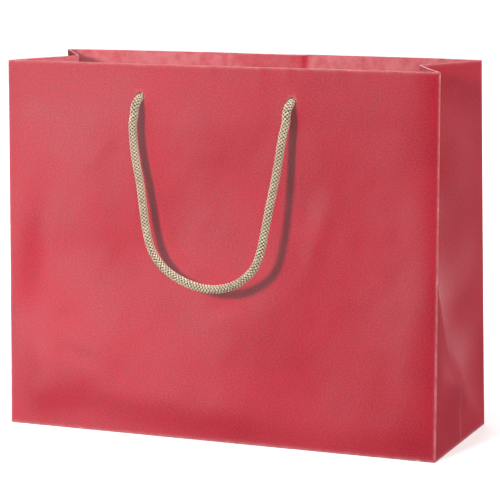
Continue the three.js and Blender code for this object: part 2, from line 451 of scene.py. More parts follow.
def pale_floor():
    """A pale floor that glows to plain white away from the bag."""

    def fill(tree, shader):
        place = object_place(tree)
        away = add_node(tree, "ShaderNodeVectorMath", operation="LENGTH", Vector=place)
        set_node(
            tree,
            shader,
            Base_Color=rgba(stage().floor_colour),
            Roughness=0.9,
            Emission_Color=ramp(tree, away.outputs["Value"], (0.15, 0.35), (0.6, 1)),
            Emission_Strength=1.0,
        )

    return kept_material("pale_floor", fill)


# ---- the shape of the paper


def smooth_step(low, high, value):
    share = np.clip((value - low) / (high - low), 0, 1)
    return share * share * (3 - 2 * share)


def ripple(first, second, wavelength, seed, count=18):
    """Smooth random waves of about unit height and one wavelength, the same for one seed."""
    chance = np.random.default_rng(seed)
    total = np.zeros(np.broadcast(first, second).shape)
    for turn, phase, stretch in chance.uniform(0, 1, (count, 3)):
        wave = 2 * math.pi / (wavelength * (0.7 + 0.8 * stretch))
        angle = 2 * math.pi * turn
        along = math.cos(angle) * first + math.sin(angle) * second
        total = total + np.sin(wave * along + 2 * math.pi * phase)
    return total / math.sqrt(count / 2)


def dimple(x, z, at, size, tilt):
    """A soft oval bump of unit height."""
    along = (x - at[0]) * math.cos(tilt) + (z - at[1]) * math.sin(tilt)
    beside = (z - at[1]) * math.cos(tilt) - (x - at[0]) * math.sin(tilt)
    return np.exp(-((along / size[0]) ** 2) - (beside / size[1]) ** 2)


# Small dents in the front panel: centre, half sizes, tilt and depth outwards.
FRONT_DENTS = [
    ((-0.119, 0.077), (0.013, 0.004), 0.5, -0.0005),
    ((-0.105, 0.053), (0.018, 0.005), -0.3, -0.0006),
    ((0.006, 0.094), (0.016, 0.005), 0.15, -0.0004),
    ((0.075, 0.150), (0.020, 0.007), 1.2, 0.0004),
    ((-0.085, 0.205), (0.022, 0.008), 0.9, 0.0005),
    ((0.125, 0.060), (0.014, 0.006), -0.9, -0.0004),
]

# Puckers in the back hem: x, depth outwards, half widths on its left and right, reach down.
BACK_PUCKERS = [
    (-0.0305, 0.0019, 0.0016, 0.0060, 0.017),
    (0.0300, 0.0021, 0.0020, 0.0085, 0.020),
    (-0.0270, -0.0008, 0.0030, 0.0030, 0.010),
]


# The soft waves in a big panel: wavelength, and height as a share of the undulation.
WAVES = ((0.16, 1.0), (0.055, 0.16), (0.02, 0.04))
CALM_MARGIN = 30 * MM
SWELL_LENGTH = 0.2
SWELL_CREST = 20 * MM
CRUMPLE_LENGTH = 11 * MM
CRUMPLE_HEIGHT = 0.1 * MM
CRUMPLE_REACH = 4 * MM
FRONT_SEED = 11
BACK_SEED = 47
ROLL_WIDTH = 9 * MM
ROLL_HEIGHT = 2.6 * MM
FLARE_REACH = 30 * MM
FLARE_DEPTH = 3 * MM


def panel_relief(x, z, seed):
    """How far a big panel stands outwards of its flat, at x and height z."""
    settings = paper()
    share = np.clip(z / HEIGHT, 0, 1)
    inward = HALF_WIDTH - np.abs(x)
    middle = np.cos(np.clip(x / HALF_WIDTH, -1, 1) * math.pi / 2)
    calm = smooth_step(0, CALM_MARGIN, inward) * smooth_step(0, CALM_MARGIN, z)
    stiff = 1 - 0.6 * smooth_step(HEM_LOW.z, HEM_LOW.z + 0.01, z)
    waves = sum(height * ripple(x, z, length, seed + k) for k, (length, height) in enumerate(WAVES))
    bow = settings.mouth_bow * middle * share**4
    swell = np.cos(2 * math.pi * (z - SWELL_CREST) / SWELL_LENGTH)
    belly = settings.undulation * calm * (1.3 * swell - 2.6 * middle * np.sin(math.pi * share))
    rim = np.exp(-(HEIGHT - z) / CRUMPLE_REACH) * smooth_step(0, 0.02, inward)
    crumple = CRUMPLE_HEIGHT * ripple(x, z * 0.2, CRUMPLE_LENGTH, seed + len(WAVES)) * rim
    return bow + belly + settings.undulation * waves * calm * stiff + crumple


def front_relief(x, z):
    """The waves, with the rolled right edge, the dents and the swelling under each hole."""
    relief = panel_relief(x, z, FRONT_SEED)
    inward = (HALF_WIDTH - x) / ROLL_WIDTH
    roll = (1 - np.exp(-inward)) * np.exp(-inward / 3) * smooth_step(0, 0.02, z)
    relief = relief + ROLL_HEIGHT * roll * (0.45 + 0.55 * (z / HEIGHT) ** 2)
    for at, size, tilt, depth in FRONT_DENTS:
        relief = relief + depth * dimple(x, z, at, size, tilt)
    for side in (-1, 1):
        relief = relief + 0.0005 * dimple(x, z, (side * HOLE_X, HOLE_HEIGHT - 0.006), (0.010, 0.010), 0)
    return relief


def back_relief(x, z):
    """The waves, with the mouth flaring out and its puckers; x grows as seen from in front."""
    relief = panel_relief(x, z, BACK_SEED)
    rise = np.clip((z - HEIGHT + FLARE_REACH) / FLARE_REACH, 0, 1)
    flare = rise**2 * smooth_step(0, 0.05, HALF_WIDTH - np.abs(x))
    relief = relief + FLARE_DEPTH * flare * (1 - 0.8 * np.exp(-((x / 0.03) ** 4)))
    for at, depth, left, right, run in BACK_PUCKERS:
        down = np.clip((HEIGHT - z) / run, 0, 1)
        width = np.where(x < at, left, right * (1 + down))
        relief = relief + depth * np.exp(-np.abs(x - at) / width) * (1 - down) ** 2
    return relief


# Where each gusset starts to fold in: heights at its front edge, middle and back edge.
GUSSET_CREASES = {"right": (0.062, 0.042, 0.002), "left": (0.002, 0.046, 0.058)}
GUSSET_SEEDS = {"right": 5, "left": 23}
GUSSET_WAVE = 0.7 * MM
GUSSET_PUFF = 0.6 * MM
CREASE_SOFTNESS = 0.006
# The fold deepens fast above its start and slowly towards the mouth.
FOLD_START = 0.01
FOLD_POWER = 0.38


def gusset_inset(y, z, side):
    """How far a gusset lies inside the bag's full width, at depth y and height z."""
    across = np.clip(y / half_depth(z), -1, 1)
    crease = np.interp(across, (-1, 0, 1), GUSSET_CREASES[side])
    above = (z - crease) / (HEIGHT - crease)
    rise = (above + np.sqrt(above**2 + CREASE_SOFTNESS)) / (1 + math.sqrt(1 + CREASE_SOFTNESS))
    rise = rise - (1 - smooth_step(0, 0.25, above)) * math.sqrt(CREASE_SOFTNESS) / 2.2
    first, last = FOLD_START**FOLD_POWER, (1 + FOLD_START) ** FOLD_POWER
    rise = ((np.clip(rise, 0, 1) + FOLD_START) ** FOLD_POWER - first) / (last - first)
    tent = 1 - np.sqrt(across**2 + 0.0004) + 0.0002
    waves = GUSSET_WAVE * ripple(y, z, 0.07, GUSSET_SEEDS[side]) * (1 - across**2) * smooth_step(0, 0.03, z)
    puff = GUSSET_PUFF * np.sin(math.pi * np.abs(across)) * np.sin(math.pi * np.clip(z / HEIGHT, 0, 1))
    return TUCK * rise * np.clip(tent, 0, 1) + waves - puff


def half_depth(z):
    """Half of the bag's depth at height z, from its middle to a big panel's outside."""
    return HALF_DEPTH - (HALF_DEPTH - MOUTH_HALF_DEPTH) * z / HEIGHT


HOLE_WALL_Y = half_depth(HOLE_HEIGHT) - WALL_DEPTH / 2


def graded(low, high, step, fine=(0.0004, 0.0009, 0.0017, 0.003)):
    """Positions from low to high, close together at both ends where folds are."""
    inner_low = low + fine[-1]
    inner_high = high - fine[-1]
    count = max(2, round((inner_high - inner_low) / step))
    starts = [low] + [low + offset for offset in fine[:-1]]
    ends = [high - offset for offset in reversed(fine[:-1])] + [high]
    return np.array(starts + list(np.linspace(inner_low, inner_high, count + 1)) + ends)


PANEL_STEP = 0.0021
GUSSET_STEP = 0.0042
CORNER_STEPS = 3
PANEL_SHARES = (graded(-HALF_WIDTH, HALF_WIDTH, PANEL_STEP) / HALF_WIDTH + 1) / 2
HALF_GUSSET = graded(0, HALF_DEPTH, GUSSET_STEP)
GUSSET_SHARES = (np.concatenate([-HALF_GUSSET[:0:-1], HALF_GUSSET]) / HALF_DEPTH + 1) / 2


LEAST_RADIUS = 0.15 * MM


def section(z, wall_inset, gusset_wall_inset):
    """One level of the bag, anticlockwise from its back left corner, inset from the outside."""
    half = half_depth(z) - wall_inset
    radius = max(LEAST_RADIUS, paper().corner_radius - wall_inset)

    def side_x(y, side):
        slope = TUCK * np.clip(z / HEIGHT, 0, 1) / half_depth(z)
        return HALF_WIDTH - gusset_inset(y, z, side) - gusset_wall_inset * math.sqrt(1 + slope**2)

    def corners(y):
        return [float(side_x(np.array([y]), side)[0]) for side in ("left", "right")]

    left_corner, right_corner = corners(-half)
    x = -left_corner + radius + PANEL_SHARES * (left_corner + right_corner - 2 * radius)
    front = np.stack([x, -half - front_relief(x, z)], 1)
    y = -half + radius + GUSSET_SHARES * 2 * (half - radius)
    right = np.stack([side_x(y, "right"), y], 1)
    left = np.stack([-side_x(-y, "left"), -y], 1)
    left_corner, right_corner = corners(half)
    x = right_corner - radius - PANEL_SHARES * (left_corner + right_corner - 2 * radius)
    back = np.stack([x, half + back_relief(x, z)], 1)
    runs = [left, front, right, back]
    shares = np.arange(1, CORNER_STEPS + 1)[:, None] / (CORNER_STEPS + 1)
    level = []
    for run, following in zip(runs, runs[1:] + runs[:1]):
        start, end = run[-1], following[0]
        panel_first = run is front or run is back
        corner = np.array([end[0], start[1]] if panel_first else [start[0], end[1]])
        level.append(run)
        level.append((1 - shares) ** 2 * start + 2 * shares * (1 - shares) * corner + shares**2 * end)
    flat = np.concatenate(level)
    return np.column_stack([flat, np.full(len(flat), z)])


FOLD_WEAR = 0.7


def column_wear():
    """Wear of each column: most on the upright folds, fading beside them."""
    panel_edge = HALF_WIDTH * (1 - np.abs(2 * PANEL_SHARES - 1))
    gusset_edge = HALF_DEPTH * (1 - np.abs(2 * GUSSET_SHARES - 1))
    middle_fold = HALF_DEPTH * np.abs(2 * GUSSET_SHARES - 1)
    panel = FOLD_WEAR * np.exp(-panel_edge / (0.4 * MM))
    gusset = FOLD_WEAR * np.exp(-gusset_edge / (0.4 * MM))
    gusset = np.maximum(gusset, 0.3 * np.exp(-middle_fold / (0.9 * MM)))
    corner = np.full(CORNER_STEPS, FOLD_WEAR)
    return np.concatenate([gusset, corner, panel, corner, gusset, corner, panel, corner])


# ---- mesh helpers


def add_object(name, data):
    obj = bpy.data.objects.new(name, data)
    bpy.context.scene.collection.objects.link(obj)
    return obj


def mesh_from(work, name):
    """A mesh from a bmesh, which is freed."""
    mesh = bpy.data.meshes.new(name)
    work.to_mesh(mesh)
    work.free()
    return mesh


def face_outwards(mesh):
    """Turns every face of a closed mesh outwards."""
    work = bmesh.new()
    work.from_mesh(mesh)
    bmesh.ops.recalc_face_normals(work, faces=work.faces)
    work.to_mesh(mesh)
    work.free()


def shade_smooth(mesh, angle=40):
    mesh.shade_smooth()
    mesh.set_sharp_from_angle(angle=math.radians(angle))


def set_attribute(mesh, name, values):
    attribute = mesh.attributes.get(name) or mesh.attributes.new(name, "FLOAT", "POINT")
    attribute.data.foreach_set("value", np.asarray(values, np.float32))


def set_sheet_uv(mesh, places):
    """Gives each face corner its vertex's place on the sheet, in metres."""
    corners = np.zeros(len(mesh.loops), np.int32)
    mesh.loops.foreach_get("vertex_index", corners)
    layer = mesh.uv_layers.get("sheet") or mesh.uv_layers.new(name="sheet")
    layer.data.foreach_set("uv", places[corners].astype(np.float32).ravel())


def vertex_positions(mesh):
    places = np.zeros(len(mesh.vertices) * 3, np.float32)
    mesh.vertices.foreach_get("co", places)
    return places.reshape(-1, 3)


def evaluated_mesh(obj):
    """A plain mesh of the object's evaluated shape."""
    graph = bpy.context.evaluated_depsgraph_get()
    graph.update()
    shape = obj.evaluated_get(graph)
    return bpy.data.meshes.new_from_object(shape, preserve_all_data_layers=True, depsgraph=graph)


PUNCH_LENGTH = 30 * MM
PUNCH_SEGMENTS = 40


def punch_holes(obj, y):
    """Cuts the two cord holes through the wall at y."""
    for side in (-1, 1):
        work = bmesh.new()
        turned = Matrix.Translation((side * HOLE_X, y, HOLE_HEIGHT)) @ Matrix.Rotation(math.pi / 2, 4, "X")
        bmesh.ops.create_cone(
            work,
            cap_ends=True,
            segments=PUNCH_SEGMENTS,
            radius1=HOLE_RADIUS,
            radius2=HOLE_RADIUS,
            depth=PUNCH_LENGTH,
            matrix=turned,
        )
        mesh = mesh_from(work, "punch")
        tool = add_object("punch", mesh)
        cut = obj.modifiers.new("hole", "BOOLEAN")
        cut.operation = "DIFFERENCE"
        cut.solver = "EXACT"
        cut.object = tool
        made = evaluated_mesh(obj)
        obj.modifiers.clear()
        obj.data = made
        bpy.data.objects.remove(tool)
        bpy.data.meshes.remove(mesh)


def plate(name, surface, across, up, material):
    """A thin closed plate. surface(a, b, face) gives a point for arrays across and up, face 0 or 1."""
    a, b = (grid.ravel() for grid in np.meshgrid(across, up))
    index = np.arange(len(a)).reshape(len(up), len(across))
    points = np.concatenate([surface(a, b, face) for face in (0, 1)])
    front = np.stack([index[:-1, :-1], index[:-1, 1:], index[1:, 1:], index[1:, :-1]], -1).reshape(-1, 4)
    back = front[:, ::-1] + len(a)
    rim = np.concatenate([index[0, :-1], index[:-1, -1], index[-1, :0:-1], index[:0:-1, 0]])
    following = np.roll(rim, -1)
    sides = np.stack([following, rim, rim + len(a), following + len(a)], -1)
    mesh = bpy.data.meshes.new(name)
    mesh.from_pydata(points.tolist(), [], np.concatenate([front, back, sides]).tolist())
    mesh.materials.append(material)
    face_outwards(mesh)
    set_sheet_uv(mesh, np.concatenate([np.stack([a, b], 1)] * 2))
    wear = np.zeros(len(points))
    wear[rim] = 1
    wear[rim + len(a)] = 1
    set_attribute(mesh, "wear", wear)
    shade_smooth(mesh)
    return add_object(name, mesh)


# ---- the paper sheet


# How far the turned-in hem is lightened towards the rubbed colour: painted light, for the light that falls
# on the hem.
HEM_PAINTED_LIGHT = 0.58
HEM_STEPS = 9
RIM_WEAR = 0.3


def sheet_path():
    """The sheet's own section as (height, wall inset, gusset inset, rubbing and painted light, face), one
    closed round.

    It goes up the outside, over the mouth, down the hem, and back along the uncoated side."""
    fold = WALL_DEPTH / 2
    side_fold = GUSSET_WALL_DEPTH / 2
    crest = 0.6 * MM
    base = 0.7 * MM
    lip = 2.2 * MM
    turn = np.linspace(0, math.pi, 7)
    top = HEIGHT - crest
    heights = graded(base, top, 0.0042)
    hem = top - np.concatenate([[0.0005, 0.0012, 0.0024], np.linspace(0.005, top - HEM_LOW.z, HEM_STEPS)])
    path = [(0, lip, lip, 0.3, "outside")]
    for angle in np.linspace(0, math.pi / 2, 4):
        inset = base * (1 - math.sin(angle))
        path.append((base * (1 - math.cos(angle)), inset, inset, 0.9, "outside"))
    for z in heights[1:-1]:
        wear = max(0.9 * math.exp(-(z - base) / 0.0008), 0.6 * math.exp(-(top - z) / 0.0006))
        path.append((z, 0, 0, wear, "outside"))
    for angle in turn:
        rise = top + crest * math.sin(angle)
        path.append((rise, fold * (1 - math.cos(angle)), side_fold * (1 - math.cos(angle)), 0.55, "outside"))
    # The hem's rows are lightened towards the rubbed colour as painted light.
    for z in hem:
        path.append((z, 2 * fold, 2 * side_fold, HEM_PAINTED_LIGHT, "outside"))
    for z in hem[::-1]:
        path.append((z, 2 * fold - PAPER, 2 * side_fold - PAPER, 0, "inside"))
    for angle in turn[::-1]:
        rise = top - PAPER / 2 + (crest - PAPER / 2) * math.sin(angle)
        reach = fold - (fold - PAPER) * math.cos(angle)
        side_reach = side_fold - (side_fold - PAPER) * math.cos(angle)
        path.append((rise, reach, side_reach, 0, "inside"))
    for z in heights[-2:0:-1]:
        path.append((z, PAPER, PAPER, 0, "inside"))
    for z, inset in ((base, PAPER + 0.1 * MM), (PAPER, base), (PAPER, lip)):
        path.append((z, inset, inset, 0, "inside"))
    return path


def hem_painted_shading(x, down):
    """How far the back's hem is lightened as painted light: painted shade between its two puckers and on the
    left side of each, and a painted highlight slanting down the right side of each.
    """
    between = smooth_step(-0.031, -0.027, x) * (1 - smooth_step(0.028, 0.034, x))
    hem_light_and_shade = HEM_PAINTED_LIGHT * (1 - 0.6 * between)
    for at, *_ in BACK_PUCKERS[:2]:
        hem_light_and_shade = hem_light_and_shade - 0.3 * np.exp(-(((x - at + 0.003) / 0.0022) ** 2))
        hem_light_and_shade = hem_light_and_shade + 0.4 * np.exp(-(((x - at - 0.003 - 0.3 * down) / 0.003) ** 2))
    return np.clip(hem_light_and_shade, 0, HEM_PAINTED_LIGHT)


def build_sheet():
    """The folded sheet as one lofted shell: outside, mouth fold, turned-in hem and bare inside."""
    path = sheet_path()
    levels = np.stack([section(z, wall, gusset) for z, wall, gusset, _, _ in path])
    rows, columns = levels.shape[:2]
    below = np.arange(rows * columns).reshape(rows, columns)
    above = np.roll(below, -1, 0)
    quads = np.stack([below, np.roll(below, -1, 1), np.roll(above, -1, 1), above], -1).reshape(-1, 4)
    mesh = bpy.data.meshes.new("paper_sheet")
    mesh.from_pydata(levels.reshape(-1, 3).tolist(), [], quads.tolist())
    mesh.materials.append(printed_paper())
    mesh.materials.append(inside_paper())
    bare = np.array([face == "inside" for *_, face in path])
    of_row = bare | np.roll(bare, -1)
    mesh.polygons.foreach_set("material_index", np.repeat(of_row, columns).astype(np.int32))
    outside = levels[len(path) // 4]
    step = np.linalg.norm(np.roll(outside, -1, 0) - outside, axis=1)
    around = np.concatenate([[0], np.cumsum(step)])
    climb = np.linalg.norm(np.diff(levels[:, 0], axis=0), axis=1)
    upward = np.concatenate([[0], np.cumsum(climb), [np.sum(climb) + PAPER]])
    row, column = np.divmod(np.arange(rows * columns), columns)
    corners = ((0, 0), (1, 0), (1, 1), (0, 1))
    uv = np.stack([np.stack([around[column + a], upward[row + b]], 1) for a, b in corners], 1)
    mesh.uv_layers.new(name="sheet").data.foreach_set("uv", uv.astype(np.float32).ravel())
    row_wear_and_painted_light = np.array([wear for _, _, _, wear, _ in path])
    wear = np.maximum(row_wear_and_painted_light[:, None], column_wear()[None, :])
    # The back hem's painted light, with painted shade and highlights by its puckers.
    back_hem = (row_wear_and_painted_light == HEM_PAINTED_LIGHT)[:, None] & (levels[..., 1] > 0)
    wear = np.where(back_hem, hem_painted_shading(levels[..., 0], HEIGHT - levels[..., 2]), wear)
    wear[bare] = 0
    set_attribute(mesh, "wear", wear.ravel())
    face_outwards(mesh)
    obj = add_object("paper_sheet", mesh)
    for sign in (-1, 1):
        punch_holes(obj, sign * HOLE_WALL_Y)
    places = vertex_positions(obj.data)
    reach = np.hypot(np.abs(places[:, 0]) - HOLE_X, places[:, 2] - HOLE_HEIGHT)
    worn_and_lit = np.zeros(len(places), np.float32)
    obj.data.attributes["wear"].data.foreach_get("value", worn_and_lit)
    set_attribute(obj.data, "wear", np.where(reach < HOLE_RADIUS * 1.02, RIM_WEAR, worn_and_lit))
    shade_smooth(obj.data, 50)
    return obj


class GIFTBAG_OT_paper_sheet(bpy.types.Operator):
    """Builds the folded paper sheet: panels, gussets and the turned-in hem"""

    bl_idname = "giftbag.paper_sheet"
    bl_label = "Paper Sheet"

    def execute(self, context):
        sheet = build_sheet()
        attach(sheet, "bag")
        parts = ("front", "back", "base", "hem_front", "hem_back")
        gussets = [f"gusset_{part}_{side}" for part in parts for side in ("left", "right")]
        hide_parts("front_panel", "back_panel", "front_hem", "back_hem", *gussets)
        return {"FINISHED"}


# ---- cards, seam and bottom


def wall_plate(name, place, low, high, inset, thickness, material):
    """A plate inside a big panel's wall that follows the panel's waves."""
    relief = front_relief if place == "front" else back_relief
    sign = -1 if place == "front" else 1

    def surface(x, z, face):
        depth = half_depth(z) - inset - thickness * face + relief(x, z)
        return np.stack([x, sign * depth, z], 1)

    return plate(name, surface, graded(low.x, high.x, 0.004), graded(low.z, high.z, 0.005), material)


class GIFTBAG_OT_mouth_cards(bpy.types.Operator):
    """Builds the stiffening card under the hem of each big panel"""

    bl_idname = "giftbag.mouth_cards"
    bl_label = "Mouth Cards"

    def execute(self, context):
        clearance = 0.2 * MM
        thickness = WALL_DEPTH - 2 * PAPER - 2 * clearance
        for place, sign in (("front", -1), ("back", 1)):
            node = f"{place}_mouth_card"
            card = wall_plate(
                f"{node}_board", place, CARD_LOW, CARD_HIGH, PAPER + clearance, thickness, grey_board()
            )
            punch_holes(card, sign * HOLE_WALL_Y)
            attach(card, "bag")
            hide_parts(node)
        return {"FINISHED"}


def flat_plate(name, low, high, edges, thickness, material, warp=0.0):
    """A level plate between x of low and high, with two edges that give y for x."""
    low_y, high_y = edges

    def surface(x, share, face):
        y = low_y(x) + (high_y(x) - low_y(x)) * share
        lift = warp * (ripple(x, y, 0.2, 71) * 0.5 + (x / HALF_WIDTH) ** 2)
        z = low.z + thickness * (1 - face) + np.maximum(lift, 0)
        return np.stack([x, y, z], 1)

    obj = plate(name, surface, graded(low.x, high.x, 0.008), np.linspace(0, 1, 15), material)
    set_sheet_uv(obj.data, vertex_positions(obj.data)[:, :2])
    return obj


def rounded_edges(low, high, radius):
    """The front and back edges of a box as y for x, with their ends rounded off."""

    def edge_at(edge):
        def at(x):
            near = np.clip(radius - np.minimum(x - low.x, high.x - x), 0, radius)
            return edge - math.copysign(1, edge) * (radius - np.sqrt(np.maximum(radius**2 - near**2, 0)))

        return at

    return edge_at(low.y), edge_at(high.y)


def mitred_edges(low, high):
    """The edges of a side flap, which narrows at 45 degrees away from its fold."""
    outer = max(abs(low.x), abs(high.x))

    def reach(x):
        return high.y - (outer - np.abs(x))

    return lambda x: -reach(x), reach


class GIFTBAG_OT_bottom(bpy.types.Operator):
    """Builds the folded bottom flaps, the glued side seam and the base board"""

    bl_idname = "giftbag.bottom"
    bl_label = "Bottom, Seam and Base Board"

    def execute(self, context):
        made = []
        for place in ("front", "back", "left", "right"):
            node = f"bottom_flap_{place}"
            low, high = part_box(node)
            big = place in ("front", "back")
            edges = rounded_edges(low, high, 3 * MM) if big else mitred_edges(low, high)
            material = printed_paper() if big else inside_paper()
            flap = flat_plate(f"folded_flap_{place}", low, high, edges, PAPER, material)
            made.append((flap, node, "red_paper"))
        edges = rounded_edges(BOARD_LOW, BOARD_HIGH, 2 * MM)
        thickness = BOARD_HIGH.z - BOARD_LOW.z
        warp = 0.6 * MM
        board = flat_plate("grey_base_board", BOARD_LOW, BOARD_HIGH, edges, thickness, grey_board(), warp)
        made.append((board, "base_board", "grey_board"))
        seam_inset = PAPER + 0.1 * MM
        seam = wall_plate("glued_seam", "back", *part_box("seam_flap"), seam_inset, PAPER, inside_paper())
        made.append((seam, "seam_flap", "red_paper"))
        for piece, node, slot in made:
            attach(piece, "bag")
            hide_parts(node)
        return {"FINISHED"}


# ---- cords


STRAND_CORNERS = 8
CORE_CORNERS = 14
KNOT_SCALE = 0.88


def stored(tree, geometry, name, value, kind="FLOAT"):
    """Keeps a field as a named attribute on the points."""
    return result(
        tree,
        "GeometryNodeStoreNamedAttribute",
        data_type=kind,
        domain="POINT",
        Geometry=geometry,
        Name=name,
        Value=value,
    )


def circle(tree, corners, radius):
    return result(
        tree, "GeometryNodeCurvePrimitiveCircle", mode="RADIUS", Resolution=corners, Radius=radius
    )


def swept(tree, curve, profile):
    return result(tree, "GeometryNodeCurveToMesh", Curve=curve, Profile_Curve=profile, Fill_Caps=True)


def braid_strands(tree, given, line, sign):
    """The strands that run one way round the cord, over and under each of the others in turn."""
    carriers, thickness = given["Carriers"], given["Thickness"]
    copies = add_node(tree, "GeometryNodeDuplicateElements", domain="SPLINE", Geometry=line, Amount=carriers)
    copies = copies.outputs
    along = add_node(tree, "GeometryNodeSplineParameter").outputs["Length"]
    turns = arithmetic(tree, "DIVIDE", along, given["Pitch"])
    place = arithmetic(tree, "DIVIDE", copies["Duplicate Index"], carriers)
    whole = arithmetic(tree, "ADD", product(tree, turns, float(sign)), place)
    angle = product(tree, whole, 2 * math.pi)
    weave = arithmetic(tree, "COSINE", product(tree, angle, carriers))
    rise = product(tree, weave, float(sign))
    middle = arithmetic(tree, "SUBTRACT", given["Radius"], product(tree, thickness, 0.86))
    swing = product(tree, thickness, 0.42)
    reach = arithmetic(tree, "ADD", middle, product(tree, swing, rise))
    outward = result(
        tree,
        "ShaderNodeVectorRotate",
        rotation_type="AXIS_ANGLE",
        Vector=result(tree, "GeometryNodeInputNormal"),
        Axis=result(tree, "GeometryNodeInputTangent"),
        Angle=angle,
    )
    strands = stored(tree, copies["Geometry"], "along", along)
    strands = stored(tree, strands, "rise", arithmetic(tree, "MULTIPLY_ADD", rise, 0.5, 0.5))
    strands = stored(tree, strands, "outward", outward, "FLOAT_VECTOR")
    offset = result(tree, "ShaderNodeVectorMath", operation="SCALE", Vector=outward, Scale=reach)
    moved = result(tree, "GeometryNodeSetPosition", Geometry=strands, Offset=offset)
    kept = result(tree, "GeometryNodeInputNamedAttribute", data_type="FLOAT_VECTOR", Name="outward")
    faced = result(tree, "GeometryNodeSetCurveNormal", mode="FREE", Curve=moved, Normal=kept)
    ring = circle(tree, STRAND_CORNERS, 0.5)
    ring_share = add_node(tree, "GeometryNodeSplineParameter").outputs["Factor"]
    ring_angle = product(tree, ring_share, 2 * math.pi)
    ring = stored(tree, ring, "crown", arithmetic(tree, "COSINE", ring_angle))
    ring = stored(tree, ring, "across", arithmetic(tree, "SINE", ring_angle))
    size = result(tree, "ShaderNodeCombineXYZ", X=thickness, Y=given["Width"], Z=1.0)
    ring = result(tree, "GeometryNodeTransform", Geometry=ring, Scale=size)
    return swept(tree, faced, ring)


def braid_group():
    """A braided cord along a curve: strands both ways round a filled core."""
    if "braided_cord" in bpy.data.node_groups:
        return bpy.data.node_groups["braided_cord"]
    tree, given, sink = new_group(
        "Geometry",
        "braided_cord",
        ("Geometry",),
        Geometry=None,
        Radius=0.003,
        Pitch=0.0122,
        Width=0.0013,
        Thickness=0.0011,
        Carriers=5,
        Step=0.00045,
        Material=None,
    )
    line = result(
        tree, "GeometryNodeResampleCurve", mode="LENGTH", Curve=given["Geometry"], Length=given["Step"]
    )
    core_radius = arithmetic(tree, "SUBTRACT", given["Radius"], product(tree, given["Thickness"], 1.3))
    join = add_node(tree, "GeometryNodeJoinGeometry")
    strands = [braid_strands(tree, given, line, sign) for sign in (1, -1)]
    # The core has no rise or crown, so the yarn paints it wholly in the shade colour.
    for part in (swept(tree, line, circle(tree, CORE_CORNERS, core_radius)), *strands):
        tree.links.new(part, join.inputs[0])
    solid = result(tree, "GeometryNodeRealizeInstances", Geometry=join.outputs[0])
    smooth = result(tree, "GeometryNodeSetShadeSmooth", Geometry=solid)
    finished = result(tree, "GeometryNodeSetMaterial", Geometry=smooth, Material=given["Material"])
    set_node(tree, sink, Geometry=finished)
    return tree


def set_modifier(modifier, **values):
    """Sets a geometry modifier's inputs by their sockets' identifiers."""
    for item in modifier.node_group.interface.items_tree:
        if item.item_type == "SOCKET" and item.in_out == "INPUT" and item.name in values:
            modifier[item.identifier] = values[item.name]


def braid_along(name, points, radius=CORD_RADIUS):
    """A plain mesh of the braided cord that follows points."""
    curve = bpy.data.curves.new(name, "CURVE")
    curve.dimensions = "3D"
    spline = curve.splines.new("POLY")
    spline.points.add(len(points) - 1)
    for point, place in zip(spline.points, points):
        point.co = (*place, 1)
    guide = add_object(f"{name}_guide", curve)
    modifier = guide.modifiers.new("braid", "NODES")
    modifier.node_group = braid_group()
    scale = radius / CORD_RADIUS
    set_modifier(
        modifier,
        Radius=radius,
        Pitch=cord().pitch * scale,
        Width=cord().strand_width * scale,
        Thickness=cord().strand_thickness * scale,
        Carriers=cord().carriers,
        Material=braided_yarn(),
    )
    mesh = evaluated_mesh(guide)
    bpy.data.objects.remove(guide)
    mesh.name = name
    return add_object(name, mesh)


def smooth_line(points, step):
    """Points a step apart on a smooth curve through the given ones."""
    places = np.asarray(points, float)
    ends = np.vstack([2 * places[0] - places[1], places, 2 * places[-1] - places[-2]])
    dense = []
    for a, b, c, d in zip(ends, ends[1:], ends[2:], ends[3:]):
        knots = [0.0]
        for start, end in ((a, b), (b, c), (c, d)):
            knots.append(knots[-1] + max(1e-9, np.linalg.norm(end - start)) ** 0.5)
        t = np.linspace(knots[1], knots[2], 24, endpoint=False)[:, None]

        def between(first, second, low, high):
            span = knots[high] - knots[low]
            return (knots[high] - t) / span * first + (t - knots[low]) / span * second

        sides = between(a, b, 0, 1), between(b, c, 1, 2), between(c, d, 2, 3)
        dense.append(between(between(*sides[:2], 0, 2), between(*sides[1:], 1, 3), 1, 2))
    line = np.vstack(dense + [places[-1:]])
    travelled = np.concatenate([[0], np.cumsum(np.linalg.norm(np.diff(line, axis=0), axis=1))])
    wanted = np.linspace(0, travelled[-1], max(2, round(travelled[-1] / step)) + 1)
    return np.stack([np.interp(wanted, travelled, line[:, axis]) for axis in range(3)], 1)


FACE_Y = -half_depth(HOLE_HEIGHT)
INSIDE_Y = FACE_Y + WALL_DEPTH
STAND_OFF = FACE_Y - PIVOT_Y
LINE_STEP = 1.5 * MM


def hole_bend(x):
    """From inside the wall straight out through a hole at x, then round and down."""
    seat = HOLE_HEIGHT - 0.12 * (HOLE_RADIUS - CORD_RADIUS)
    line = [(x, INSIDE_Y, seat), (x, (INSIDE_Y + FACE_Y) / 2, seat)]
    for angle in np.linspace(0, math.pi / 2, 6):
        out = STAND_OFF * math.sin(angle)
        line.append((x, FACE_Y - out, seat - STAND_OFF * (1 - math.cos(angle))))
    return line


def handle_line():
    """The front handle's centreline from inside one hole to inside the other."""
    hanging = [
        (x, PIVOT_Y - out, HOLE_HEIGHT - down) for x, out, down in LOOP_ROUTE if down > STAND_OFF * 1.2
    ]
    return smooth_line([*hole_bend(-HOLE_X), *hanging, *hole_bend(HOLE_X)[::-1]], LINE_STEP)


KNOT_SIZE = 2.35 * MM
KNOT_LIFT = 2.7 * MM
KNOT_START = 0.35
KNOT_TURNS = 0.87
# A knot's tail beyond the knot's last point: how far inwards and how far down.
TAIL_ROUTE = ((0.004, 0.005), (0.007, 0.011), (0.0085, 0.018))


